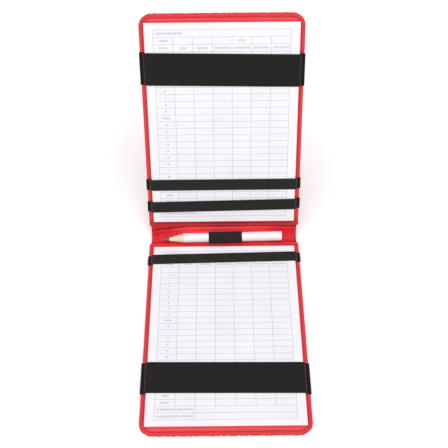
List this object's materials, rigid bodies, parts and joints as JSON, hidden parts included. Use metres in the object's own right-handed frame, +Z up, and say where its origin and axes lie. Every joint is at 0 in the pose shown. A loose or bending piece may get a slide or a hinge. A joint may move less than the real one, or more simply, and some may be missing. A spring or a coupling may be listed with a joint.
{
  "type": "folding scorecard holder",
  "caption": "Folding leather scorecard holder: two stiff stitched covers on a soft spine, with elastic bands over cards and a short pencil in a loop.",
  "frame": {"origin": "centre of the lower cover's outer face, on the surface that the holder rests on", "axes": "+X across the covers to the right as the cards are read, +Y from the front edge of the lower cover towards the spine, +Z up"},
  "size_m": [0.1098, 0.2092, 0.1695],
  "materials": {
    "cover_leather": "smooth fine-grained red leatherette, semi-matt",
    "lining_leather": "the same red leatherette on the inner side",
    "spine_leather": "soft unboarded red leatherette, slightly wrinkled",
    "thread": "twisted red polyester thread",
    "board": "dense greyboard, hidden inside the covers",
    "elastic": "black woven elastic with fine ribs",
    "card_stock": "matt white card with pale grey ruling",
    "pencil_wood": "bare sharpened softwood",
    "pencil_lacquer": "glossy white lacquer",
    "pencil_lead": "graphite, dull metallic grey"
  },
  "bodies": {
    "lower_cover": {"lower_outer_skin": "cover_leather", "lower_board": "board", "lower_lining": "lining_leather", "lower_edge_stitching": "thread", "lower_fold_seam": "thread", "lower_narrow_band": "elastic", "lower_wide_band": "elastic"},
    "lower_card": {"lower_scorecard": "card_stock"},
    "spine_low": {"spine_low_skin": "spine_leather", "spine_low_lining": "spine_leather", "spine_low_stitching": "thread"},
    "spine_mid": {"spine_mid_skin": "spine_leather", "spine_mid_lining": "spine_leather", "spine_mid_stitching": "thread", "pencil_loop": "elastic"},
    "spine_high": {"spine_high_skin": "spine_leather", "spine_high_lining": "spine_leather", "spine_high_stitching": "thread"},
    "upper_cover": {"upper_outer_skin": "cover_leather", "upper_board": "board", "upper_lining": "lining_leather", "upper_edge_stitching": "thread", "upper_fold_seam": "thread", "upper_inner_band": "elastic", "upper_outer_band": "elastic", "upper_wide_band": "elastic"},
    "upper_card": {"upper_scorecard": "card_stock"},
    "pencil": {"pencil_casing": "pencil_wood", "pencil_lacquer": "pencil_lacquer", "pencil_lead": "pencil_lead"}
  },
  "joints": [
    {"name": "spine_bend_1", "type": "hinge", "parent": "lower_cover", "child": "spine_low", "pos_m": [0, 0.08115, 0.0018], "axis": [1, 0, 0], "range_deg": [0, 35]},
    {"name": "spine_bend_2", "type": "hinge", "parent": "spine_low", "child": "spine_mid", "pos_m": [0, 0.08515, 0.0018], "axis": [1, 0, 0], "range_deg": [-45, 0]},
    {"name": "spine_bend_3", "type": "hinge", "parent": "spine_mid", "child": "spine_high", "pos_m": [0, 0.08883, 0.00548], "axis": [1, 0, 0], "range_deg": [-20, 33.2]},
    {"name": "spine_bend_4", "type": "hinge", "parent": "spine_high", "child": "upper_cover", "pos_m": [0, 0.0914, 0.01101], "axis": [1, 0, 0], "range_deg": [-12.6, 34.2]},
    {"name": "pencil_slide", "type": "slide", "parent": "spine_mid", "child": "pencil", "axis": [0.9999, 0.0099, 0.0099], "range_m": [-0.055, 0.06]},
    {"name": "lower_card_slide", "type": "slide", "parent": "lower_cover", "child": "lower_card", "axis": [0, -1, 0], "range_m": [0, 0.155]},
    {"name": "upper_card_slide", "type": "slide", "parent": "upper_cover", "child": "upper_card", "axis": [0, 0.2147, 0.9767], "range_m": [0, 0.155]}
  ]
}
